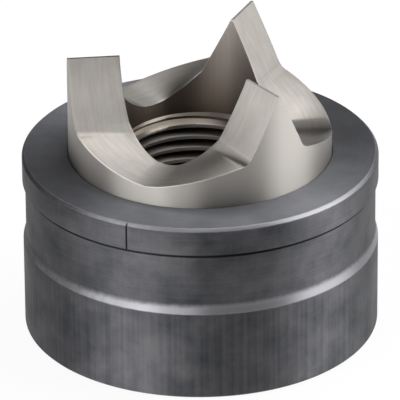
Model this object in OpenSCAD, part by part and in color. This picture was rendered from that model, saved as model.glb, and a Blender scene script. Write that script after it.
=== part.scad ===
// Knockout punch and die for cutting round holes in sheet metal
// The punch stands tips up in the bore of its die, resting on the die's floor, as the pair is stored.
// Sizes are in millimetres. The origin is the centre of the die's base and +Z is the common axis.

/* [Punch] */
// Outside diameter of the punch, which is the diameter of the hole it cuts
punch_d = 32.5; // [30:0.25:36]
// Height of the punch from its base to the ridges of its tips
punch_h = 29.25; // [28:0.25:34]
// Chamfer round the outside of the punch's base
punch_base_chamfer = 0.6; // [0.2:0.1:1.2]

/* [Tips and valleys] */
// Number of tips, evenly spaced round the axis
tip_count = 3; // [3:1:4]
// Diameter of the plain bore between the tips
tip_bore_d = 19.6; // [18.8:0.1:21]
// Height of the bottom of that bore above the punch's base
tip_bore_floor = 16.35; // [14:0.05:17.5]
// Width of the flat along each ridge
ridge_w = 0.25; // [0.1:0.05:1]
// Angle between the flank of a tip and the punch's axis
flank_angle = 26.5; // [22:0.5:29]
// Depth of a valley, from the ridges down to the keel in its middle
valley_depth = 10.95; // [9.5:0.05:12]
// Rise of the valley's floor from its keel to the foot of a flank
floor_rise = 2.65; // [1.5:0.05:3.5]
// Slope of the floor's outer edge, in degrees, where it meets the rounded foot of a flank
floor_slope = 9; // [4:1:20]
// Radius of the rounded foot between a flank and the floor, at the outside
foot_r = 1.9; // [1:0.1:2.5]
// Share of the floor's rise that is lost in the blunt keel
keel_share = 0.03; // [0.01:0.01:0.1]

/* [Draw stud] */
// Bore of the punch's internal thread at its crests, for a 19.05 mm stud of 16 threads to the inch
thread_bore_d = 17.4; // [16.6:0.1:18]
// Diameter of the countersink at the thread's lower mouth
thread_mouth_d = 19.6; // [18.8:0.1:21]
// Diameter of the clearance hole for the stud through the die's floor
stud_hole_d = 19.6; // [19.2:0.1:21]
// Chamfer round the stud hole in the die's underside
stud_hole_chamfer = 0.6; // [0.2:0.1:1.2]

/* [Die] */
// Outside diameter of the die
die_d = 44; // [42:0.5:50]
// Height of the die
die_h = 23; // [21:0.25:28]
// Thickness of the die's floor, on which the punch stands
die_floor = 7; // [5:0.25:9]
// Gap between the punch and the cutting edge of the die, all round
bore_gap = 0.1; // [0.05:0.01:0.3]
// Height of the straight land below the cutting edge
land_h = 6; // [3:0.5:10]
// Extra radius of the bore at the floor, where its taper below the land ends
bore_relief = 0.4; // [0.2:0.1:1]
// Chamfer round the top edge of the die
top_chamfer = 0.4; // [0.2:0.05:0.8]
// Chamfer round the bottom edge of the die
bottom_chamfer = 0.3; // [0.1:0.05:0.8]

/* [Recessed band] */
// Height of the rim above the recessed band, with its chamfer
rim_h = 3.5; // [2:0.1:5]
// Height of the straight part of the band
band_h = 6.95; // [4:0.05:8]
// Height of the sloping edge below the band
band_slope_h = 1.1; // [0.5:0.1:2]
// Depth of the band
band_depth = 0.35; // [0.2:0.05:0.8]

/* [Centring mark] */
// Width of the mark scribed down the rim
mark_w = 0.2; // [0.1:0.05:0.5]
// Depth of the mark
mark_depth = 0.15; // [0.1:0.05:0.2]

/* [Hidden] */

$fn = 96;

// Steps along the floor and round the foot of a flank
floor_steps = 28;
foot_steps = 8;
// The floor's steps are closer together towards the keel
step_spread = 1.5;
// Powers of the valley's lower edges: rounded at the tip bore, nearly straight at the outside
bore_edge_power = 0.6;
outer_edge_power = 0.85;
// A cut runs past the surface it opens by this much
overcut = 0.5;
// A valley's cutter runs into the tip bore by this share of its length across the wall
inward_share = 0.35;

punch_r = punch_d / 2;
tip_bore_r = tip_bore_d / 2;
thread_r = thread_bore_d / 2;
thread_mouth_r = thread_mouth_d / 2;
die_r = die_d / 2;
bore_r = punch_r + bore_gap;
band_r = die_r - band_depth;
rim_z = die_h - rim_h;
band_z = rim_z - band_h;
band_slope_z = band_z - band_slope_h;
stud_hole_r = stud_hole_d / 2;

half_pitch = 180 / tip_count;
// The first tip points along +Y
first_valley = 90 + half_pitch;
flank_slope = 90 - flank_angle;
keel_z = punch_h - valley_depth;
foot_z = keel_z + floor_rise;
crease_z = foot_z + foot_r * (cos(floor_slope) - cos(flank_slope));
// Distances from the upright plane through the ridge to the upper and lower edges of the foot
crease_offset = flank_offset(crease_z);
foot_offset = crease_offset + foot_r * (sin(flank_slope) - sin(floor_slope));

// Distance from the ridge's plane to the flank at height z
function flank_offset(z) = ridge_w / 2 + (punch_h - z) * tan(flank_angle);

// Angle from the middle of the valley to a line parallel to the ridge, where it meets radius r
function ridge_parallel(offset, r) = half_pitch - asin(offset / r);

// How far the floor has spread from its blunt keel at height z, as a share of its spread at the top
function spread(z, top) = keel_share + (1 - keel_share) * (z - keel_z) / (top - keel_z);

// Half angle of the valley below the crease, along the tip bore and along the outside
function bore_edge(z) = ridge_parallel(crease_offset, tip_bore_r) * pow(spread(z, crease_z), bore_edge_power);
function outer_edge(z) = ridge_parallel(foot_offset, punch_r) * pow(spread(z, foot_z), outer_edge_power);

// The levels of a valley, each with its height and its half angles at the tip bore and at the outside.
// A level's sides are straight: radial at the keel, turning to lie parallel to the ridges at the crease.
floor_levels = [
    for (i = [0:floor_steps - 1])
        let (z = keel_z + floor_rise * pow(i / floor_steps, step_spread))
        [z, bore_edge(z), outer_edge(z)]
];

// The rounded foot of the flank, from the floor's slope to the flank's
foot_levels = [
    for (i = [0:foot_steps - 1])
        let (
            slope = floor_slope + (flank_slope - floor_slope) * i / foot_steps,
            z = foot_z + foot_r * (cos(floor_slope) - cos(slope)),
            offset = foot_offset - foot_r * (sin(slope) - sin(floor_slope))
        )
        [z, bore_edge(z), ridge_parallel(offset, punch_r)]
];

// The plane flank, from the crease to just above the ridge
flank_levels = [
    for (z = [crease_z, punch_h + overcut])
        let (offset = flank_offset(z))
        [z, ridge_parallel(offset, tip_bore_r), ridge_parallel(offset, punch_r)]
];

valley_levels = concat(floor_levels, foot_levels, flank_levels);

// The four corners of a level, counter-clockwise from above: its sides run on from the wall
// into the tip bore, and out to an upright plane just past the outside
function corners(level) = let (
    start = tip_bore_r * [cos(level[1]), sin(level[1])],
    across = punch_r * [cos(level[2]), sin(level[2])] - start,
    inner = start - inward_share * across,
    outer = start + (punch_r + overcut - start[0]) / across[0] * across
) [
    [inner[0], -inner[1], level[0]],
    [outer[0], -outer[1], level[0]],
    [outer[0], outer[1], level[0]],
    [inner[0], inner[1], level[0]]
];

// Cutter for one valley, along +X: a stack of level sections joined by ruled sides
module valley_cutter() {
    last = len(valley_levels) - 1;
    points = [for (level = valley_levels, corner = corners(level)) corner];
    sides = [
        for (i = [0:last - 1], k = [0:3])
            let (a = 4 * i + k, b = 4 * i + (k + 1) % 4)
            each [[a, a + 4, b + 4], [a, b + 4, b]]
    ];
    ends = [[0, 1, 2, 3], [for (k = [3:-1:0]) 4 * last + k]];
    polyhedron(points, concat(sides, ends));
}

// The turned blank of the punch: thread bore, countersinks and tip bore
module punch_blank() {
    rotate_extrude() polygon([
        [thread_mouth_r, 0],
        [punch_r - punch_base_chamfer, 0],
        [punch_r, punch_base_chamfer],
        [punch_r, punch_h],
        [tip_bore_r, punch_h],
        [tip_bore_r, tip_bore_floor],
        [thread_r, tip_bore_floor - (tip_bore_r - thread_r)],
        [thread_r, thread_mouth_r - thread_r]
    ]);
}

// The punch: one piece, with chisel tips left standing between its valleys
module punch() {
    color("#c4bfb8") translate([0, 0, die_floor]) difference() {
        punch_blank();
        for (i = [0:tip_count - 1])
            rotate([0, 0, first_valley + i * 2 * half_pitch]) valley_cutter();
    }
}

// The turned body of the die: floor with the stud hole, tapered relief, cutting land, rim and recessed band
module die_body() {
    rotate_extrude() polygon([
        [stud_hole_r + stud_hole_chamfer, 0],
        [die_r - bottom_chamfer, 0],
        [die_r, bottom_chamfer],
        [die_r, band_slope_z],
        [band_r, band_z],
        [band_r, rim_z],
        [die_r, rim_z],
        [die_r, die_h - top_chamfer],
        [die_r - top_chamfer, die_h],
        [bore_r, die_h],
        [bore_r, die_h - land_h],
        [bore_r + bore_relief, die_floor],
        [stud_hole_r, die_floor],
        [stud_hole_r, stud_hole_chamfer]
    ]);
}

// The die: one turned piece, with a centring mark scribed down the front of its rim
module die() {
    color("#46474c") difference() {
        die_body();
        translate([-mark_w / 2, -die_r - overcut, rim_z - overcut])
            cube([mark_w, overcut + mark_depth, rim_h + 2 * overcut]);
    }
}

punch();
die();
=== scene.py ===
"""Knockout punch standing tips up in its die.

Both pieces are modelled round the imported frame, with the thread, the broken edges and the finishes that the
solids leave out, and shown in a plain studio. Lengths are in metres and angles in radians.
"""

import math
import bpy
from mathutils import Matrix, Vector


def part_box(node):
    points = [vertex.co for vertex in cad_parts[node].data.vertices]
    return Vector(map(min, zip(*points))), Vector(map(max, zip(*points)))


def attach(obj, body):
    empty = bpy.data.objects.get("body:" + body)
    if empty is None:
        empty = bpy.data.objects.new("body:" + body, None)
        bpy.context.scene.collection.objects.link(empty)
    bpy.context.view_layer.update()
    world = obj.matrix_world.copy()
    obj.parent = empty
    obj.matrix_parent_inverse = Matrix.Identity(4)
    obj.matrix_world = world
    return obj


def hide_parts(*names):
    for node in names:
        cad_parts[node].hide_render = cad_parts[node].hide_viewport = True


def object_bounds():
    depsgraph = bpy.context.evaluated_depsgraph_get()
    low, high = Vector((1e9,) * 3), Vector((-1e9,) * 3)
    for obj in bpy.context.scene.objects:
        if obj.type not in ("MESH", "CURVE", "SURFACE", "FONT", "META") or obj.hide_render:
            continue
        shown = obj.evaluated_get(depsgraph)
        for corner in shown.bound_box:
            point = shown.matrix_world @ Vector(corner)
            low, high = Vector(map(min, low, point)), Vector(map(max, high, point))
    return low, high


bl_info = {
    "name": "Knockout Punch and Die",
    "version": (1, 0, 0),
    "blender": (4, 5, 0),
    "location": "View3D > Sidebar > Punch",
    "description": "Builds a knockout punch, its die and a studio to show them in",
    "category": "Add Mesh",
}

import bmesh
import bpy
from bpy.props import FloatProperty, FloatVectorProperty, IntProperty, PointerProperty
from bpy.types import Operator, Panel, PropertyGroup
from mathutils import Euler, Matrix, Vector

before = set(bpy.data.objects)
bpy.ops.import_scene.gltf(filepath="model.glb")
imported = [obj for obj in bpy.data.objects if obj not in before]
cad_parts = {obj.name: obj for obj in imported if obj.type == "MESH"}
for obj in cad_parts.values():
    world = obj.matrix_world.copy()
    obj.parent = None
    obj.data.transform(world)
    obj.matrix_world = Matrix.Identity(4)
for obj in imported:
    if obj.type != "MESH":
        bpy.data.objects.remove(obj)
cad_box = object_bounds()
punch_low, punch_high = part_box("punch")
die_low, die_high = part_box("die")

MM = 0.001
TURN = 2 * math.pi
# Points closer than this are one point
WELD = 0.001 * MM
# Faces that meet at a larger angle than this keep a sharp edge
SHARP_ANGLE = math.radians(32)
# Depth of the relief that tool lines and grit leave
RELIEF = 0.02 * MM
# Share of a turn that lays the sheen upright on a wall whose lines run round the axis
UPRIGHT_SHEEN = 0.25


def linear(hex_colour):
    """A colour written as sRGB hex, in the linear values that shaders take."""
    channels = [int(hex_colour[i : i + 2], 16) / 255 for i in (1, 3, 5)]
    return [c / 12.92 if c <= 0.04045 else ((c + 0.055) / 1.055) ** 2.4 for c in channels] + [1.0]


class PunchSettings(PropertyGroup):
    """Sizes and colours of the punch."""

    radius: FloatProperty(
        name="Radius",
        description="Outside radius of the punch",
        default=punch_high.x,
        unit="LENGTH",
        precision=5,
    )
    base_chamfer: FloatProperty(
        name="Base chamfer",
        description="Chamfer round the base",
        default=0.6 * MM,
        unit="LENGTH",
        precision=5,
    )
    tip_count: IntProperty(
        name="Tips", description="Number of tips round the axis", default=3, min=3, max=4
    )
    bore_radius: FloatProperty(
        name="Tip bore radius",
        description="Radius of the plain bore between the tips",
        default=9.8 * MM,
        unit="LENGTH",
        precision=5,
    )
    bore_floor: FloatProperty(
        name="Tip bore floor",
        description="Height of the bottom of that bore above the base",
        default=16.35 * MM,
        unit="LENGTH",
        precision=5,
    )
    ridge_width: FloatProperty(
        name="Ridge width",
        description="Width of the flat on a ridge",
        default=0.25 * MM,
        unit="LENGTH",
        precision=5,
    )
    flank_angle: FloatProperty(
        name="Flank angle",
        description="Angle between a flank and the axis",
        default=math.radians(26.5),
        subtype="ANGLE",
    )
    valley_depth: FloatProperty(
        name="Valley depth",
        description="Depth of a valley from the ridges to its keel",
        default=10.95 * MM,
        unit="LENGTH",
        precision=5,
    )
    floor_rise: FloatProperty(
        name="Floor rise",
        description="Rise of a valley's floor from its keel to the foot of a flank",
        default=2.65 * MM,
        unit="LENGTH",
        precision=5,
    )
    floor_slope: FloatProperty(
        name="Floor slope",
        description="Slope of the floor's outer edge at the foot of a flank",
        default=math.radians(9),
        subtype="ANGLE",
    )
    foot_radius: FloatProperty(
        name="Foot radius",
        description="Radius of the rounded foot of a flank, at the outside",
        default=1.9 * MM,
        unit="LENGTH",
        precision=5,
    )
    keel_share: FloatProperty(
        name="Keel share",
        description="Share of the floor's rise that is lost in the blunt keel",
        default=0.03,
        subtype="FACTOR",
    )
    hone_height: FloatProperty(
        name="Hone height",
        description="Height of the honed strip along the top of each flank",
        default=0.7 * MM,
        unit="LENGTH",
        precision=5,
    )
    hone_lean: FloatProperty(
        name="Hone lean",
        description="How far the honed strip stands out from the flank at the ridge",
        default=0.05 * MM,
        unit="LENGTH",
        precision=5,
    )
    edge_break: FloatProperty(
        name="Edge break",
        description="Set-back of the stoned edges round the cutting face",
        default=0.045 * MM,
        unit="LENGTH",
        precision=5,
    )
    thread_crest: FloatProperty(
        name="Thread crest radius",
        description="Radius of the internal thread at its crests",
        default=8.7 * MM,
        unit="LENGTH",
        precision=5,
    )
    thread_root: FloatProperty(
        name="Thread root radius",
        description="Radius of the internal thread at its roots",
        default=9.525 * MM,
        unit="LENGTH",
        precision=5,
    )
    thread_pitch: FloatProperty(
        name="Thread pitch",
        description="Distance between neighbouring crests, 16 threads to the inch",
        default=25.4 * MM / 16,
        unit="LENGTH",
        precision=6,
    )
    steel: FloatVectorProperty(
        name="Ground steel",
        description="Colour of the ground steel",
        default=linear("#afaba6"),
        size=4,
        subtype="COLOR",
    )
    steel_dark: FloatVectorProperty(
        name="Steel in the lines",
        description="Colour of the ground steel in its grinding lines",
        default=linear("#a6a19c"),
        size=4,
        subtype="COLOR",
    )
    face: FloatVectorProperty(
        name="Cutting face",
        description="Colour of the cutting face",
        default=linear("#a6a29d"),
        size=4,
        subtype="COLOR",
    )
    face_dark: FloatVectorProperty(
        name="Cutting face in the lines",
        description="Colour of the cutting face in its grinding lines",
        default=linear("#9d9893"),
        size=4,
        subtype="COLOR",
    )
    countersunk: FloatVectorProperty(
        name="Countersunk steel",
        description="Colour of the countersinks at the thread's mouths",
        default=linear("#857d74"),
        size=4,
        subtype="COLOR",
    )
    # Partly painted shade: an oily brown, laid darker towards the bottom of the bore for the shade deep
    # inside it
    bore_oil_and_shade: FloatVectorProperty(
        name="Oiled steel",
        description="Colour of the oily bore",
        default=linear("#675b51"),
        size=4,
        subtype="COLOR",
    )
    # Painted shade: the thread's roots are darkened towards this colour for the shade deep between the crests
    thread_root_shade: FloatVectorProperty(
        name="Oil in the thread",
        description="Colour of the oil in the thread's roots",
        default=linear("#362d27"),
        size=4,
        subtype="COLOR",
    )


class DieSettings(PropertyGroup):
    """Sizes and colours of the die."""

    radius: FloatProperty(
        name="Radius",
        description="Outside radius of the die",
        default=die_high.x,
        unit="LENGTH",
        precision=5,
    )
    floor: FloatProperty(
        name="Floor", description="Thickness of the floor", default=7 * MM, unit="LENGTH", precision=5
    )
    bore_radius: FloatProperty(
        name="Bore radius",
        description="Radius of the cutting edge",
        default=16.35 * MM,
        unit="LENGTH",
        precision=5,
    )
    bore_relief: FloatProperty(
        name="Bore relief",
        description="Extra radius of the bore below its land",
        default=0.4 * MM,
        unit="LENGTH",
        precision=5,
    )
    land: FloatProperty(
        name="Land",
        description="Height of the land below the cutting edge",
        default=6 * MM,
        unit="LENGTH",
        precision=5,
    )
    stud_radius: FloatProperty(
        name="Stud hole radius",
        description="Radius of the hole for the draw stud",
        default=9.8 * MM,
        unit="LENGTH",
        precision=5,
    )
    stud_chamfer: FloatProperty(
        name="Stud hole chamfer",
        description="Chamfer round that hole in the underside",
        default=0.6 * MM,
        unit="LENGTH",
        precision=5,
    )
    top_chamfer: FloatProperty(
        name="Top chamfer",
        description="Chamfer round the top",
        default=0.4 * MM,
        unit="LENGTH",
        precision=5,
    )
    bottom_chamfer: FloatProperty(
        name="Bottom chamfer",
        description="Chamfer round the bottom",
        default=0.3 * MM,
        unit="LENGTH",
        precision=5,
    )
    rim: FloatProperty(
        name="Rim",
        description="Height of the rim above the band",
        default=3.5 * MM,
        unit="LENGTH",
        precision=5,
    )
    band: FloatProperty(
        name="Band",
        description="Height of the recessed band",
        default=6.95 * MM,
        unit="LENGTH",
        precision=5,
    )
    band_slope: FloatProperty(
        name="Band slope",
        description="Height of the band's lower edge",
        default=1.1 * MM,
        unit="LENGTH",
        precision=5,
    )
    band_depth: FloatProperty(
        name="Band depth",
        description="Depth of the recessed band",
        default=0.35 * MM,
        unit="LENGTH",
        precision=5,
    )
    groove: FloatProperty(
        name="Groove",
        description="Height of the groove under the rim",
        default=0.42 * MM,
        unit="LENGTH",
        precision=5,
    )
    groove_depth: FloatProperty(
        name="Groove depth",
        description="Depth of that groove",
        default=0.15 * MM,
        unit="LENGTH",
        precision=5,
    )
    mark_width: FloatProperty(
        name="Mark width",
        description="Width of the centring mark",
        default=0.2 * MM,
        unit="LENGTH",
        precision=5,
    )
    mark_depth: FloatProperty(
        name="Mark depth",
        description="Depth of the centring mark",
        default=0.15 * MM,
        unit="LENGTH",
        precision=5,
    )
    oxide: FloatVectorProperty(
        name="Black oxide",
        description="Colour of the black oxide",
        default=linear("#6a6a6d"),
        size=4,
        subtype="COLOR",
    )
    oxide_dark: FloatVectorProperty(
        name="Black oxide in the streaks",
        description="Colour of the darker streaks and clouds",
        default=linear("#48494d"),
        size=4,
        subtype="COLOR",
    )
    # Partly painted light: the top face is drawn paler than the walls, as lit from above
    faced: FloatVectorProperty(
        name="Faced oxide",
        description="Colour of the top face, which the sheets have rubbed",
        default=linear("#747579"),
        size=4,
        subtype="COLOR",
    )
    faced_dark: FloatVectorProperty(
        name="Faced oxide in the clouds",
        description="Colour of the darker clouds on the top face",
        default=linear("#626368"),
        size=4,
        subtype="COLOR",
    )
    # Painted shade: the groove under the rim and the centring mark are coloured this dark grey for the shade
    # that falls in them
    painted_recess_shade: FloatVectorProperty(
        name="Caked oxide",
        description="Colour of the oil and dirt caked in the groove",
        default=linear("#303034"),
        size=4,
        subtype="COLOR",
    )
    # Partly painted highlight: worn edges are drawn paler, and this pale also stands in for highlights on the
    # band's slope and the front right
    rubbed_and_sheen: FloatVectorProperty(
        name="Rubbed edge",
        description="Colour of the edges where the oxide has worn thin",
        default=linear("#8c8c90"),
        size=4,
        subtype="COLOR",
    )


class StudioSettings(PropertyGroup):
    """Camera, floor and light."""

    azimuth: FloatProperty(
        name="Azimuth",
        description="Camera's angle round the axis",
        default=math.radians(24),
        subtype="ANGLE",
    )
    elevation: FloatProperty(
        name="Elevation",
        description="Camera's angle above the floor",
        default=math.radians(26.97),
        subtype="ANGLE",
    )
    distance: FloatProperty(
        name="Distance", description="Camera's distance from its target", default=0.6915, unit="LENGTH"
    )
    target: FloatProperty(
        name="Target",
        description="Height of the camera's target",
        default=11.42 * MM,
        unit="LENGTH",
        precision=5,
    )
    roll: FloatProperty(
        name="Roll",
        description="Camera's turn about its own axis",
        default=math.radians(-0.42),
        subtype="ANGLE",
    )
    lens: FloatProperty(
        name="Lens", description="Focal length on a 36 mm frame", default=501.2, unit="CAMERA"
    )
    shift_x: FloatProperty(
        name="Shift across", description="Shift of the picture to the right", default=-0.0019, precision=4
    )
    shift_y: FloatProperty(
        name="Shift up", description="Shift of the picture upwards", default=0.082, precision=4
    )
    floor: FloatVectorProperty(
        name="Floor",
        description="Colour of the floor",
        default=linear("#f4f4f4"),
        size=4,
        subtype="COLOR",
    )


def add_node(tree, kind, inputs=None, **settings):
    """Add a node with its settings. inputs maps a socket to a value, or to the output that feeds it."""
    node = tree.nodes.new(kind)
    for name, value in settings.items():
        setattr(node, name, value)
    for socket, value in (inputs or {}).items():
        if isinstance(value, bpy.types.NodeSocket):
            tree.links.new(value, node.inputs[socket])
        else:
            node.inputs[socket].default_value = value
    return node


def new_material(name):
    """A material with an empty node tree and its output node."""
    material = bpy.data.materials.new(name)
    material.use_nodes = True
    material.node_tree.nodes.clear()
    return material, material.node_tree, add_node(material.node_tree, "ShaderNodeOutputMaterial")


def lined_steel(name, light, dark, spacing, run, roughness, relief, anisotropy, oil_and_shade=None):
    """Steel with fine tool lines along the mesh's second UV direction, spacing apart and run long.

    The oil-and-shade argument is a colour, the word height or radius, and two values of that measure: where
    the steel is darkest and where it keeps its own colour. The darkening is painted shade, with oil in the
    bore too.
    """
    material, tree, out = new_material(name)
    uv = add_node(tree, "ShaderNodeUVMap", uv_map="tool_lines").outputs["UV"]
    place = add_node(tree, "ShaderNodeTexCoord").outputs["Object"]
    across = add_node(
        tree, "ShaderNodeVectorMath", {0: uv, 1: (1 / spacing, 1 / run, 0)}, operation="MULTIPLY"
    ).outputs[0]
    lines = add_node(
        tree, "ShaderNodeTexNoise", {"Vector": across, "Scale": 1.0, "Detail": 2.0}, noise_dimensions="2D"
    ).outputs[0]
    cloud_size = 2.5 * MM
    # Lines and clouds each stay near a half, so their sum is spread about 1
    spread = 0.25
    clouds = add_node(
        tree, "ShaderNodeTexNoise", {"Vector": place, "Scale": 1 / cloud_size, "Detail": 4.0}
    ).outputs[0]
    level = add_node(tree, "ShaderNodeMath", {0: lines, 1: clouds}, operation="ADD").outputs[0]
    share = add_node(
        tree, "ShaderNodeMapRange", {"Value": level, "From Min": 1 - spread, "From Max": 1 + spread}
    ).outputs[0]
    colour = add_node(tree, "ShaderNodeMix", {0: share, 6: dark, 7: light}, data_type="RGBA").outputs[2]
    if oil_and_shade:
        oil_and_shade_colour, measure, darkest, lightest = oil_and_shade
        if measure == "height":
            depth = add_node(tree, "ShaderNodeSeparateXYZ", {0: place}).outputs["Z"]
        else:
            level_place = add_node(
                tree, "ShaderNodeVectorMath", {0: place, 1: (1, 1, 0)}, operation="MULTIPLY"
            ).outputs[0]
            depth = add_node(
                tree, "ShaderNodeVectorMath", {0: level_place}, operation="LENGTH"
            ).outputs["Value"]
        # Darkens towards the given colour along the measure: painted shade, and in the bore oil as well
        lightest_share = add_node(
            tree, "ShaderNodeMapRange", {"Value": depth, "From Min": darkest, "From Max": lightest}
        ).outputs[0]
        colour = add_node(
            tree, "ShaderNodeMix", {0: lightest_share, 6: oil_and_shade_colour, 7: colour}, data_type="RGBA"
        ).outputs[2]
    rough = add_node(
        tree, "ShaderNodeMapRange", {"Value": lines, "To Min": roughness[1], "To Max": roughness[0]}
    ).outputs[0]
    bump = add_node(
        tree, "ShaderNodeBump", {"Strength": relief, "Distance": RELIEF, "Height": lines}
    ).outputs[0]
    tangent = add_node(tree, "ShaderNodeTangent", direction_type="RADIAL", axis="Z").outputs[0]
    steel = add_node(
        tree,
        "ShaderNodeBsdfPrincipled",
        {
            "Base Color": colour,
            "Metallic": 1.0,
            "Roughness": rough,
            "Anisotropic": anisotropy,
            "Anisotropic Rotation": UPRIGHT_SHEEN,
            "Tangent": tangent,
            "Normal": bump,
        },
    )
    tree.links.new(steel.outputs[0], out.inputs["Surface"])
    return material


def black_oxide(name, light, dark, rubbed_and_sheen, painted_recess_shade, roughness, metallic):
    """Turned steel with a black oxide finish, which wears pale on edges, partly as painted highlight, with
    painted shade in grooves.
    """
    cloud_size, grit_size = 6 * MM, 0.6 * MM
    # Upright streaks on the lower wall give way, between these heights, to turned lines round the band
    # and the rim. Turned lines are far finer than this; they are drawn coarse enough to show.
    fade_low, fade_high = 10.5 * MM, 12.5 * MM
    # Height, width round the axis, detail, and depth below and above the fade
    marks = (
        (30 * MM, 0.5 * MM, 3.0, 0.9, 0.2),
        (0.25 * MM, 9 * MM, 2.0, 0.0, 0.45),
    )
    # How far grit frays the worn edges, the wear at which steel starts to show, and how rough it is there
    grit_share, wear_start, rubbed_roughness = 0.35, 0.3, 0.36
    material, tree, out = new_material(name)
    uv = add_node(tree, "ShaderNodeUVMap", uv_map="tool_lines").outputs["UV"]
    place = add_node(tree, "ShaderNodeTexCoord").outputs["Object"]
    height = add_node(tree, "ShaderNodeSeparateXYZ", {0: place}).outputs["Z"]
    clouds = add_node(
        tree,
        "ShaderNodeTexNoise",
        {"Vector": place, "Scale": 1 / cloud_size, "Detail": 5.0, "Roughness": 0.6},
    ).outputs[0]
    share = add_node(
        tree, "ShaderNodeMapRange", {"Value": clouds, "From Min": 0.3, "From Max": 0.7}
    ).outputs[0]
    for mark_height, mark_width, detail, low_depth, high_depth in marks:
        scale = (1 / mark_height, 1 / mark_width, 0)
        mark_place = add_node(
            tree, "ShaderNodeVectorMath", {0: uv, 1: scale}, operation="MULTIPLY"
        ).outputs[0]
        noise = add_node(
            tree,
            "ShaderNodeTexNoise",
            {"Vector": mark_place, "Scale": 1.0, "Detail": detail},
            noise_dimensions="2D",
        ).outputs[0]
        level = add_node(tree, "ShaderNodeMath", {0: noise, 1: 0.5}, operation="SUBTRACT").outputs[0]
        depth = add_node(
            tree,
            "ShaderNodeMapRange",
            {
                "Value": height,
                "From Min": fade_low,
                "From Max": fade_high,
                "To Min": low_depth,
                "To Max": high_depth,
            },
        ).outputs[0]
        share = add_node(
            tree, "ShaderNodeMath", {0: level, 1: depth, 2: share}, operation="MULTIPLY_ADD"
        ).outputs[0]
    oxide = add_node(tree, "ShaderNodeMix", {0: share, 6: dark, 7: light}, data_type="RGBA").outputs[2]
    grit = add_node(
        tree, "ShaderNodeTexNoise", {"Vector": place, "Scale": 1 / grit_size, "Detail": 3.0}
    ).outputs[0]
    # This runs from -1, painted shade in recesses, to 1, bare steel on worn edges
    wear_and_painted_light = add_node(tree, "ShaderNodeAttribute", attribute_name="wear_and_painted_light").outputs["Fac"]
    wear_level = add_node(
        tree, "ShaderNodeMath", {0: grit, 1: grit_share, 2: wear_and_painted_light}, operation="MULTIPLY_ADD"
    ).outputs[0]
    # Bare steel on worn edges, whose pale colour is partly painted highlight
    bare_and_sheen = add_node(
        tree,
        "ShaderNodeMapRange",
        {"Value": wear_level, "From Min": wear_start, "From Max": 1.0},
        interpolation_type="SMOOTHSTEP",
    ).outputs[0]
    # Painted shade: values below 0 darken the groove under the rim and the centring mark
    recess_shade_share = add_node(
        tree, "ShaderNodeMapRange", {"Value": wear_and_painted_light, "From Min": 0.0, "From Max": -1.0}
    ).outputs[0]
    oxide_with_recess_shade = add_node(tree, "ShaderNodeMix", {0: recess_shade_share, 6: oxide, 7: painted_recess_shade}, data_type="RGBA").outputs[2]
    colour = add_node(tree, "ShaderNodeMix", {0: bare_and_sheen, 6: oxide_with_recess_shade, 7: rubbed_and_sheen}, data_type="RGBA").outputs[2]
    oxide_rough = add_node(
        tree, "ShaderNodeMapRange", {"Value": clouds, "To Min": roughness[1], "To Max": roughness[0]}
    ).outputs[0]
    rough = add_node(
        tree, "ShaderNodeMapRange", {"Value": bare_and_sheen, "To Min": oxide_rough, "To Max": rubbed_roughness}
    ).outputs[0]
    bump = add_node(
        tree, "ShaderNodeBump", {"Strength": 0.08, "Distance": RELIEF, "Height": grit}
    ).outputs[0]
    tangent = add_node(tree, "ShaderNodeTangent", direction_type="RADIAL", axis="Z").outputs[0]
    steel = add_node(
        tree,
        "ShaderNodeBsdfPrincipled",
        {
            "Base Color": colour,
            "Metallic": metallic,
            "Roughness": rough,
            "Anisotropic": 0.88,
            "Anisotropic Rotation": UPRIGHT_SHEEN,
            "Tangent": tangent,
            "Normal": bump,
        },
    )
    tree.links.new(steel.outputs[0], out.inputs["Surface"])
    return material


def polar(radius, angle, z):
    """The place at this radius and angle round the axis."""
    return Vector((radius * math.cos(angle), radius * math.sin(angle), z))


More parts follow.
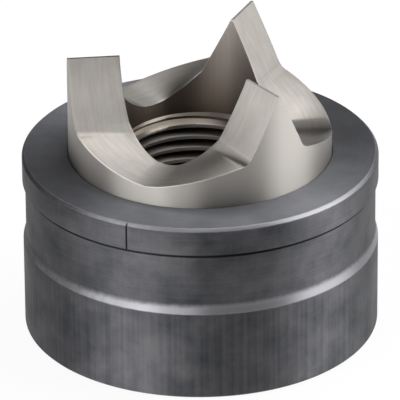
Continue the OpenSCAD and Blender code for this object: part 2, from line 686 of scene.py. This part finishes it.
def valley_side(size, half_pitch):
    """Half of a valley from its keel to the ridge: (height, half angle at the bore, half angle outside)."""
    flank_slope = math.pi / 2 - size.flank_angle
    ridge_z = punch_high.z
    keel_z = ridge_z - size.valley_depth
    foot_z = keel_z + size.floor_rise
    crease_z = foot_z + size.foot_radius * (math.cos(size.floor_slope) - math.cos(flank_slope))
    floor_steps, foot_steps, flank_steps = 20, 12, 8
    # Powers of the valley's lower edges: rounded at the bore, nearly straight at the outside
    bore_power, outer_power = 0.6, 0.85
    # The floor's first step up from the keel is broad, so that the keel is shaded as a soft trough
    first_step = 0.06

    def flank_offset(z):
        return size.ridge_width / 2 + (ridge_z - z) * math.tan(size.flank_angle)

    def ridge_parallel(offset, radius):
        return half_pitch - math.asin(offset / radius)

    def spread(z, top):
        return size.keel_share + (1 - size.keel_share) * (z - keel_z) / (top - keel_z)

    crease_offset = flank_offset(crease_z)
    foot_offset = crease_offset + size.foot_radius * (math.sin(flank_slope) - math.sin(size.floor_slope))

    def bore_edge(z):
        return ridge_parallel(crease_offset, size.bore_radius) * spread(z, crease_z) ** bore_power

    def outer_edge(z):
        return ridge_parallel(foot_offset, size.radius) * spread(z, foot_z) ** outer_power

    side = []
    for i in range(floor_steps):
        z = keel_z + size.floor_rise * (first_step + (1 - first_step) * i / floor_steps)
        side.append((z, bore_edge(z), outer_edge(z)))
    for i in range(foot_steps):
        slope = size.floor_slope + (flank_slope - size.floor_slope) * i / foot_steps
        z = foot_z + size.foot_radius * (math.cos(size.floor_slope) - math.cos(slope))
        offset = foot_offset - size.foot_radius * (math.sin(slope) - math.sin(size.floor_slope))
        side.append((z, bore_edge(z), ridge_parallel(offset, size.radius)))
    hone_z = ridge_z - size.hone_height
    levels = [crease_z + (hone_z - crease_z) * i / flank_steps for i in range(flank_steps + 1)]
    flank = [(z, flank_offset(z)) for z in levels]
    hone_top = size.ridge_width / 2 + size.hone_lean
    flank.append((ridge_z - size.edge_break, hone_top))
    flank.append((ridge_z, hone_top - size.edge_break / 2))
    for z, offset in flank:
        side.append((z, ridge_parallel(offset, size.bore_radius), ridge_parallel(offset, size.radius)))
    return side


def cutting_rulings(size):
    """The straight lines across the cutting face, in order: (height, bore angle, outside angle)."""
    half_pitch = math.pi / size.tip_count
    side = valley_side(size, half_pitch)
    keel_z = punch_high.z - size.valley_depth
    rulings = []
    for tip in range(size.tip_count):
        middle = math.pi / 2 + half_pitch + tip * 2 * half_pitch
        rulings += [(z, middle - bore, middle - outside) for z, bore, outside in reversed(side)]
        rulings.append((keel_z, middle, middle))
        rulings += [(z, middle + bore, middle + outside) for z, bore, outside in side]
    z, bore, outside = rulings[0]
    rulings.append((z, bore + TURN, outside + TURN))
    return rulings


def add_grid(bm, uv_layer, rows, finish):
    """Add rows of (place, uv) as a grid of faces with one finish, and return the faces."""
    verts = [[bm.verts.new(place) for place, _ in row] for row in rows]
    faces = []
    for i in range(len(rows) - 1):
        for k in range(len(rows[i]) - 1):
            corners = [(i, k), (i, k + 1), (i + 1, k + 1), (i + 1, k)]
            face = bm.faces.new([verts[a][b] for a, b in corners])
            face.material_index = finish
            for loop, (a, b) in zip(face.loops, corners):
                loop[uv_layer].uv = rows[a][b][1]
            faces.append(face)
    return faces


def finish_mesh(name, bm, materials, body, node):
    """Close the grids into one mesh, and put it in the frame in place of its node."""
    bmesh.ops.remove_doubles(bm, verts=bm.verts, dist=WELD)
    bmesh.ops.recalc_face_normals(bm, faces=bm.faces)
    mesh = bpy.data.meshes.new(name)
    bm.to_mesh(mesh)
    bm.free()
    mesh.shade_smooth()
    mesh.set_sharp_from_angle(angle=SHARP_ANGLE)
    for material in materials:
        mesh.materials.append(material)
    piece = bpy.data.objects.new(name, mesh)
    bpy.context.scene.collection.objects.link(piece)
    weighted = piece.modifiers.new("flat faces stay flat", "WEIGHTED_NORMAL")
    weighted.keep_sharp = True
    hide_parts(node)
    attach(piece, body)


def blended_edge(first, corner, last):
    """The middle of a rounded edge whose faces would meet in corner."""
    return (first + 2 * corner + last) / 4


class KNOCKOUT_OT_make_punch(Operator):
    """Build the punch: ground tips and valleys, a plain bore and an internal thread"""

    bl_idname = "knockout.make_punch"
    bl_label = "Make Punch"

    OUTSIDE, FACE, BORE, THREAD, COUNTERSINK, EDGE = range(6)

    def execute(self, context):
        size = context.scene.knockout_punch
        bm = bmesh.new()
        uv_layer = bm.loops.layers.uv.new("tool_lines")
        rulings = cutting_rulings(size)
        self.add_face(bm, uv_layer, size, rulings)
        self.add_outside(bm, uv_layer, size, rulings)
        self.add_bore(bm, uv_layer, size, rulings)
        self.add_thread(bm, uv_layer, size, rulings)
        # Tool steel, ground round: a warm light grey whose satin sheen is drawn out into tall highlights.
        # Its lines are about 0.05 mm apart and, like those below, are drawn coarser so that they show.
        outside = lined_steel(
            "tool_steel_cylindrically_ground",
            size.steel,
            size.steel,
            spacing=0.3 * MM,
            run=20 * MM,
            roughness=(0.42, 0.44),
            relief=0.01,
            anisotropy=0.93,
        )
        # Tool steel, ground along the valleys: a shade duller, with fine lines that run up the flanks
        face = lined_steel(
            "tool_steel_surface_ground",
            size.face,
            size.face_dark,
            spacing=0.4 * MM,
            run=4 * MM,
            roughness=(0.38, 0.42),
            relief=0.03,
            anisotropy=0.82,
        )
        # Tool steel, bored and left oily: a brown that deepens towards the thread and clears above the tips;
        # the deepening is partly painted shade
        darkest_z = punch_low.z + size.bore_floor
        lightest_z = punch_high.z + 8 * MM
        bore = lined_steel(
            "tool_steel_bored",
            size.steel,
            size.steel_dark,
            spacing=0.4 * MM,
            run=9 * MM,
            roughness=(0.4, 0.46),
            relief=0.05,
            anisotropy=0.7,
            oil_and_shade=(size.bore_oil_and_shade, "height", darkest_z, lightest_z),
        )
        # Tool steel, tapped: pale crests over roots darkened by painted shade
        thread = lined_steel(
            "tool_steel_tapped",
            size.steel_dark,
            size.steel_dark,
            spacing=0.4 * MM,
            run=9 * MM,
            roughness=(0.34, 0.4),
            relief=0.03,
            anisotropy=0.6,
            oil_and_shade=(size.thread_root_shade, "radius", size.thread_root, size.thread_crest),
        )
        # Tool steel, countersunk: a brownish ring with a soft shine
        countersink = lined_steel(
            "tool_steel_countersunk",
            size.countersunk,
            size.countersunk,
            spacing=0.4 * MM,
            run=9 * MM,
            roughness=(0.3, 0.36),
            relief=0.03,
            anisotropy=0.6,
        )
        # Tool steel, stoned along its edges: a hair line that catches the light from any side
        edge = lined_steel(
            "tool_steel_stoned_edge",
            size.steel,
            size.steel,
            spacing=0.3 * MM,
            run=0.4 * MM,
            roughness=(0.28, 0.36),
            relief=0.1,
            anisotropy=0.0,
        )
        materials = [outside, face, bore, thread, countersink, edge]
        finish_mesh("punch_ground", bm, materials, "punch", "punch")
        return {"FINISHED"}

    def add_face(self, bm, uv_layer, size, rulings):
        """The ruled cutting face between its two stoned edges."""
        steps = 14
        set_back = size.edge_break
        down = Vector((0, 0, -set_back))
        along = 0.0
        last_middle = None
        columns = []
        for z, bore_angle, outside_angle in rulings:
            outside = polar(size.radius, outside_angle, z)
            bore = polar(size.bore_radius, bore_angle, z)
            middle = (outside + bore) / 2
            along += (middle - last_middle).length if last_middle else 0.0
            last_middle = middle
            across = bore - outside
            inward = across.normalized() * set_back
            outer_low, outer_high = outside + down, outside + inward
            bore_low, bore_high = bore + down, bore - inward
            column = [outer_low, blended_edge(outer_low, outside, outer_high), outer_high]
            column += [outside + across * i / steps for i in range(1, steps)]
            column += [bore_high, blended_edge(bore_high, bore, bore_low), bore_low]
            columns.append([(place, ((place - outside).length, along)) for place in column])
        rows = [list(row) for row in zip(*columns)]
        add_grid(bm, uv_layer, rows[:3], self.EDGE)
        add_grid(bm, uv_layer, rows[2:-2], self.FACE)
        add_grid(bm, uv_layer, rows[-3:], self.EDGE)

    def add_outside(self, bm, uv_layer, size, rulings):
        """The base, its chamfer and the wall up to the cutting face."""
        steps = 8
        low = punch_low.z
        wall_low = low + size.base_chamfer
        base_radius = size.radius - size.base_chamfer
        rows = [[] for _ in range(steps + 4)]
        for z, bore_angle, angle in rulings:
            # The last row lies close below the edge, so that the wall is shaded as a true cylinder up to it
            wall_high = z - 2 * size.edge_break
            wall = [wall_low + (wall_high - wall_low) * i / steps for i in range(steps + 1)]
            wall.append(z - size.edge_break)
            places = [polar(size.bore_radius, bore_angle, low), polar(base_radius, angle, low)]
            places += [polar(size.radius, angle, wall_z) for wall_z in wall]
            for row, place in zip(rows, places):
                row.append((place, (place.z - place.xy.length, size.radius * angle)))
        add_grid(bm, uv_layer, rows, self.OUTSIDE)

    def add_bore(self, bm, uv_layer, size, rulings):
        """The plain bore between the tips."""
        steps = 6
        low = punch_low.z + size.bore_floor
        rows = [[] for _ in range(steps + 2)]
        for z, angle, _ in rulings:
            high = z - 2 * size.edge_break
            levels = [z - size.edge_break] + [high + (low - high) * i / steps for i in range(steps + 1)]
            for row, level in zip(rows, levels):
                row.append((polar(size.bore_radius, angle, level), (size.bore_radius * angle, level)))
        add_grid(bm, uv_layer, rows, self.BORE)

    def add_thread(self, bm, uv_layer, size, rulings):
        """The internal thread, which runs out in a countersink at each end."""
        low = punch_low.z
        high = punch_low.z + size.bore_floor
        pitch = size.thread_pitch
        # Shares of a pitch, with the share of the thread's depth there: crest, flank, root and flank
        steps = 5
        crest = [(0.0, 0.0), (0.125, 0.0)]
        rising = [(0.25 + 0.3 * i / steps, i / steps) for i in range(steps)]
        root = [(0.55, 1.0), (0.625, 1.0)]
        falling = [(0.7 + 0.3 * i / steps, 1 - i / steps) for i in range(steps)]
        profile = crest + rising + root + falling
        # A turn rises with the angle, so the first turns start below the base and the last end above the
        # bore's floor; both are held at those levels
        first_turn = -3
        turns = math.ceil((high - low) / pitch) + 2 - first_turn
        rows = []
        for turn in range(first_turn, first_turn + turns):
            for share, depth in profile:
                row = []
                for _, angle, _ in rulings:
                    z = low + pitch * (turn + share + angle / TURN)
                    z = min(max(z, low), high)
                    groove = size.thread_crest + depth * (size.thread_root - size.thread_crest)
                    countersink = size.bore_radius - min(z - low, high - z)
                    radius = max(groove, countersink)
                    row.append((polar(radius, angle, z), (z, radius * angle)))
                rows.append(row)
        # A countersink is as high as it is wide
        countersink_height = size.bore_radius - size.thread_crest
        for face in add_grid(bm, uv_layer, rows, self.THREAD):
            z = face.calc_center_median().z
            if not low + countersink_height < z < high - countersink_height:
                face.material_index = self.COUNTERSINK


class KNOCKOUT_OT_make_die(Operator):
    """Build the die: a turned cup with a rim, a recessed band and a centring mark"""

    bl_idname = "knockout.make_die"
    bl_label = "Make Die"

    OXIDE, FACED = range(2)

    def execute(self, context):
        size = context.scene.knockout_die
        bm = bmesh.new()
        uv_layer = bm.loops.layers.uv.new("tool_lines")
        wear_and_painted_light_layer = bm.verts.layers.float.new("wear_and_painted_light")
        section = self.section(size)
        columns = self.columns(size)
        rim_z = die_high.z - size.rim
        mark_floor = size.radius - size.mark_depth
        along = 0.0
        last = None
        rows = []
        for radius, z, _, _ in section:
            along += math.hypot(radius - last[0], z - last[1]) if last else 0.0
            last = (radius, z)
            row = []
            for angle, marked in columns:
                cut = marked and z > rim_z - size.band_depth / 2
                here = min(radius, mark_floor) if cut else radius
                row.append((polar(here, angle, z), (along, size.radius * angle)))
            rows.append(row)
        for i, (_, _, finish, wear_and_painted_light) in enumerate(section[:-1]):
            add_grid(bm, uv_layer, rows[i : i + 2], finish)
            self.add_wear_and_painted_light(bm, wear_and_painted_light_layer, 2 * len(columns), (wear_and_painted_light, section[i + 1][3]), mark_floor)
        edges = (size.rubbed_and_sheen, size.painted_recess_shade)
        # Turned steel in black oxide: a dark grey with cloudy smudges and streaks, and edges rubbed pale,
        # which partly paints their highlights
        oxide = black_oxide(
            "steel_turned_black_oxide",
            size.oxide,
            size.oxide_dark,
            *edges,
            roughness=(0.55, 0.6),
            metallic=1.0,
        )
        # Faced steel in black oxide, which sheets have rubbed: a more even grey, paler partly as painted
        # light on the upward face
        faced = black_oxide(
            "steel_faced_black_oxide",
            size.faced,
            size.faced_dark,
            *edges,
            roughness=(0.53, 0.59),
            metallic=0.75,
        )
        finish_mesh("die_black_oxide", bm, [oxide, faced], "die", "die")
        return {"FINISHED"}

    def add_wear_and_painted_light(self, bm, wear_and_painted_light_layer, count, shares, mark_floor):
        """Write the wear of the last two rows, from -1, painted shade, to 1, rubbed bare.

        The die is rubbed most on one side, where the pale also paints a highlight, and its centring mark gets
        painted shade.
        """
        bm.verts.ensure_lookup_table()
        # Wear is strongest towards the front right, and the pale there also paints a highlight
        most_rubbed_and_sheen = math.radians(-35)
        least_share, falloff = 0.15, 1.5
        for i, vert in enumerate(bm.verts[-count:]):
            # Painted shade: the centring mark is darkened for the shade inside it
            in_mark = abs(vert.co.xy.length - mark_floor) < WELD
            wear_and_painted_light = -1.0 if in_mark else shares[i >= count // 2]
            angle = math.atan2(vert.co.y, vert.co.x)
            facing = 0.5 + 0.5 * math.cos(angle - most_rubbed_and_sheen)
            side = least_share + (1 - least_share) * facing**falloff
            vert[wear_and_painted_light_layer] = wear_and_painted_light * side if wear_and_painted_light > 0 else wear_and_painted_light

    def section(self, size):
        """The die's closed section with blended corners: (radius, height, finish of what follows, wear and
        painted light).
        """
        low, high = die_low.z, die_high.z
        band_radius = size.radius - size.band_depth
        groove_radius = band_radius - size.groove_depth
        rim_z = high - size.rim
        band_z = rim_z - size.band
        slope_z = band_z - size.band_slope
        relief_z = high - size.land
        floor_z = low + size.floor
        fine, soft, broad = 0.05 * MM, 0.12 * MM, 0.5 * MM
        # Radius, height, set-back of the blend, and the finish and wear of the strip that follows (below 0:
        # painted shade)
        corners = [
            (size.stud_radius + size.stud_chamfer, low, soft, self.OXIDE, 0.0),
            (size.radius - size.bottom_chamfer, low, soft, self.OXIDE, 0.35),
            (size.radius, low + size.bottom_chamfer, soft, self.OXIDE, 0.0),
            # The band's slope is worn palest, which also paints a highlight on it
            (size.radius, slope_z, soft, self.OXIDE, 1.0),
            (band_radius, band_z, broad, self.OXIDE, 0.0),
            # Painted shade: from here up to the rim, the band's top and the groove are darkened for the shade
            # under the rim's overhang
            (band_radius, rim_z - size.groove, soft, self.OXIDE, -1.0),
            (groove_radius, rim_z - size.groove, fine, self.OXIDE, -1.0),
            (groove_radius, rim_z, fine, self.OXIDE, -1.0),
            (size.radius, rim_z, fine, self.OXIDE, 0.0),
            (size.radius, high - size.top_chamfer, soft, self.OXIDE, 0.9),
            (size.radius - size.top_chamfer, high, soft, self.FACED, 0.0),
            (size.bore_radius, high, fine, self.OXIDE, 0.0),
            (size.bore_radius, relief_z, soft, self.OXIDE, 0.0),
            (size.bore_radius + size.bore_relief, floor_z, soft, self.OXIDE, 0.0),
            (size.stud_radius, floor_z, soft, self.OXIDE, 0.0),
            (size.stud_radius, low + size.stud_chamfer, soft, self.OXIDE, 0.2),
        ]
        blend_steps = 5
        section = []
        for i, (radius, z, set_back, finish, wear_and_painted_light) in enumerate(corners):
            here = Vector((radius, z))
            before = Vector(corners[i - 1][:2])
            after = Vector(corners[(i + 1) % len(corners)][:2])
            start = here + (before - here).normalized() * set_back
            end = here + (after - here).normalized() * set_back
            last_finish, last_wear_and_painted_light = corners[i - 1][3:]
            for step in range(blend_steps + 1):
                share = step / blend_steps
                place = start.lerp(here, share).lerp(here.lerp(end, share), share)
                step_wear_and_painted_light = last_wear_and_painted_light + (wear_and_painted_light - last_wear_and_painted_light) * share
                step_finish = finish if step == blend_steps else max(finish, last_finish)
                section.append((place.x, place.y, step_finish, step_wear_and_painted_light))
        section.append(section[0])
        return section

    def columns(self, size):
        """Angles round the axis, and whether each lies in the centring mark."""
        steps = 360
        # The mark is at the front, towards -Y
        middle = 1.5 * math.pi
        half = math.asin(size.mark_width / 2 / size.radius)
        # The mark is this much wider at the surface than at its floor
        wall = half * 1.05
        angles = [TURN * i / steps for i in range(steps + 1)]
        columns = [(angle, False) for angle in angles if abs(angle - middle) > wall]
        columns += [(middle - wall, False), (middle - half, True)]
        columns += [(middle + half, True), (middle + wall, False)]
        return sorted(columns)


class KNOCKOUT_OT_make_studio(Operator):
    """Build the floor, the light and the camera"""

    bl_idname = "knockout.make_studio"
    bl_label = "Make Studio"

    # Soft boxes: angle round the axis from the camera, half width, bottom, top and softness, all in
    # degrees, and strength, which is held so low that a flank that mirrors one doesn't turn white
    SOFT_BOXES = (
        (-54, 18, -12, 20, 8, 4.3),
        (-22, 15, -12, 20, 6, 3.4),
        (-54, 17, 20, 45, 8, 2.6),
        (-101, 12, -12, 24, 6, 0.7),
        (85, 15, -12, 20, 8, 4.1),
        (84, 17, 20, 60, 8, 3.2),
        (118, 17, 20, 58, 8, 1.25),
        (146, 20, 20, 46, 8, 1.3),
        (180, 45, 57, 74, 8, 4.6),
        (90, 45, 60, 80, 8, 1.8),
        (5, 25, 30, 70, 8, 0.35),
        (0, 180, 82, 100, 8, 3.2),
    )
    # Light from all round
    FILL = 0.03
    # Share of the floor that is plain white to the eye; the rest of it shows the object's shadow
    WHITE_SHARE = 0.92

    def execute(self, context):
        size = context.scene.knockout_studio
        self.add_floor(context, size)
        self.add_world(context, size)
        self.add_camera(context, size)
        context.scene.view_settings.view_transform = "Standard"
        return {"FINISHED"}

    def add_floor(self, context, size):
        """A wide pale floor that shows as white and keeps a soft shadow."""
        half = 2.0
        mesh = bpy.data.meshes.new("floor")
        corners = [(-half, -half, 0), (half, -half, 0), (half, half, 0), (-half, half, 0)]
        mesh.from_pydata(corners, [], [(0, 1, 2, 3)])
        floor = bpy.data.objects.new("floor", mesh)
        floor.location.z = cad_box[0][2]
        context.scene.collection.objects.link(floor)
        floor.visible_shadow = False
        # Matt paper: plain white to the eye and in what the metal mirrors, with a soft shadow
        material, tree, out = new_material("floor_matt_paper")
        paper = add_node(tree, "ShaderNodeBsdfDiffuse", {"Color": size.floor})
        white = add_node(tree, "ShaderNodeEmission", {"Strength": 1.0})
        path = add_node(tree, "ShaderNodeLightPath").outputs
        seen = path["Is Camera Ray"]
        for ray in ("Is Glossy Ray", "Is Transmission Ray"):
            seen = add_node(
                tree, "ShaderNodeMath", {0: seen, 1: path[ray]}, operation="MAXIMUM"
            ).outputs[0]
        share = add_node(
            tree, "ShaderNodeMath", {0: seen, 1: self.WHITE_SHARE}, operation="MULTIPLY"
        ).outputs[0]
        shader = add_node(
            tree, "ShaderNodeMixShader", {0: share, 1: paper.outputs[0], 2: white.outputs[0]}
        )
        tree.links.new(shader.outputs[0], out.inputs["Surface"])
        mesh.materials.append(material)

    def add_world(self, context, size):
        """Soft boxes at both sides, behind and overhead, with the camera's side left darker."""
        world = bpy.data.worlds.new("studio")
        world.use_nodes = True
        tree = world.node_tree
        tree.nodes.clear()
        out = add_node(tree, "ShaderNodeOutputWorld")
        ray = add_node(tree, "ShaderNodeTexCoord").outputs["Generated"]
        height = add_node(tree, "ShaderNodeSeparateXYZ", {0: ray}).outputs["Z"]
        level = add_node(
            tree, "ShaderNodeVectorMath", {0: ray, 1: (1, 1, 0)}, operation="MULTIPLY"
        ).outputs[0]
        heading = add_node(tree, "ShaderNodeVectorMath", {0: level}, operation="NORMALIZE").outputs[0]
        total = self.FILL
        for turn, half, bottom, top, soft, strength in self.SOFT_BOXES:
            angle = size.azimuth + math.radians(turn)
            towards = (math.sin(angle), -math.cos(angle), 0)
            facing = add_node(
                tree, "ShaderNodeVectorMath", {0: heading, 1: towards}, operation="DOT_PRODUCT"
            ).outputs["Value"]
            limits = [
                (height, self.sine(bottom - soft), self.sine(bottom + soft)),
                (height, self.sine(top + soft), self.sine(top - soft)),
            ]
            if half < 180:
                outer, inner = math.radians(half + 2 * soft), math.radians(half - 2 * soft)
                limits.append((facing, math.cos(outer), math.cos(inner)))
            light = strength
            for value, outer, inner in limits:
                share = add_node(
                    tree,
                    "ShaderNodeMapRange",
                    {"Value": value, "From Min": outer, "From Max": inner},
                    interpolation_type="SMOOTHSTEP",
                ).outputs[0]
                light = add_node(
                    tree, "ShaderNodeMath", {0: share, 1: light}, operation="MULTIPLY"
                ).outputs[0]
            total = add_node(tree, "ShaderNodeMath", {0: total, 1: light}, operation="ADD").outputs[0]
        studio = add_node(tree, "ShaderNodeBackground", {"Strength": total, "Color": (1, 1, 1, 1)})
        tree.links.new(studio.outputs[0], out.inputs["Surface"])
        context.scene.world = world

    def sine(self, degrees):
        """Height of a ray at this angle above the floor, carried on past straight up to keep its order."""
        return math.sin(math.radians(degrees)) if abs(degrees) <= 90 else degrees / 90

    def add_camera(self, context, size):
        """A long lens from the front, a little to the right of the centring mark."""
        data = bpy.data.cameras.new("camera")
        data.sensor_width = 36
        data.lens = size.lens
        data.clip_end = 10
        data.shift_x = size.shift_x
        data.shift_y = size.shift_y
        camera = bpy.data.objects.new("camera", data)
        context.scene.collection.objects.link(camera)
        reach = size.distance * math.cos(size.elevation)
        rise = size.distance * math.sin(size.elevation)
        place = Vector(
            (reach * math.sin(size.azimuth), -reach * math.cos(size.azimuth), size.target + rise)
        )
        turn = Euler((math.pi / 2 - size.elevation, 0, size.azimuth)).to_matrix().to_4x4()
        camera.matrix_world = Matrix.Translation(place) @ turn @ Matrix.Rotation(size.roll, 4, "Z")
        context.scene.camera = camera


class KNOCKOUT_PT_panel(Panel):
    """Sizes, colours and build buttons"""

    bl_idname = "KNOCKOUT_PT_panel"
    bl_label = "Knockout Punch and Die"
    bl_space_type = "VIEW_3D"
    bl_region_type = "UI"
    bl_category = "Punch"

    def draw(self, context):
        groups = (
            (context.scene.knockout_punch, KNOCKOUT_OT_make_punch),
            (context.scene.knockout_die, KNOCKOUT_OT_make_die),
            (context.scene.knockout_studio, KNOCKOUT_OT_make_studio),
        )
        for settings, operator in groups:
            box = self.layout.box()
            for name in settings.__annotations__:
                box.prop(settings, name)
            box.operator(operator.bl_idname)


CLASSES = (
    PunchSettings,
    DieSettings,
    StudioSettings,
    KNOCKOUT_OT_make_punch,
    KNOCKOUT_OT_make_die,
    KNOCKOUT_OT_make_studio,
    KNOCKOUT_PT_panel,
)


def register():
    """Register the classes and hang their settings on the scene."""
    for cls in CLASSES:
        bpy.utils.register_class(cls)
    bpy.types.Scene.knockout_punch = PointerProperty(type=PunchSettings)
    bpy.types.Scene.knockout_die = PointerProperty(type=DieSettings)
    bpy.types.Scene.knockout_studio = PointerProperty(type=StudioSettings)


def unregister():
    """Take the settings and the classes away again."""
    del bpy.types.Scene.knockout_studio
    del bpy.types.Scene.knockout_die
    del bpy.types.Scene.knockout_punch
    for cls in reversed(CLASSES):
        bpy.utils.unregister_class(cls)


def main():
    """Build both pieces and the studio."""
    register()
    bpy.ops.knockout.make_punch()
    bpy.ops.knockout.make_die()
    bpy.ops.knockout.make_studio()


if __name__ == "__main__":
    main()
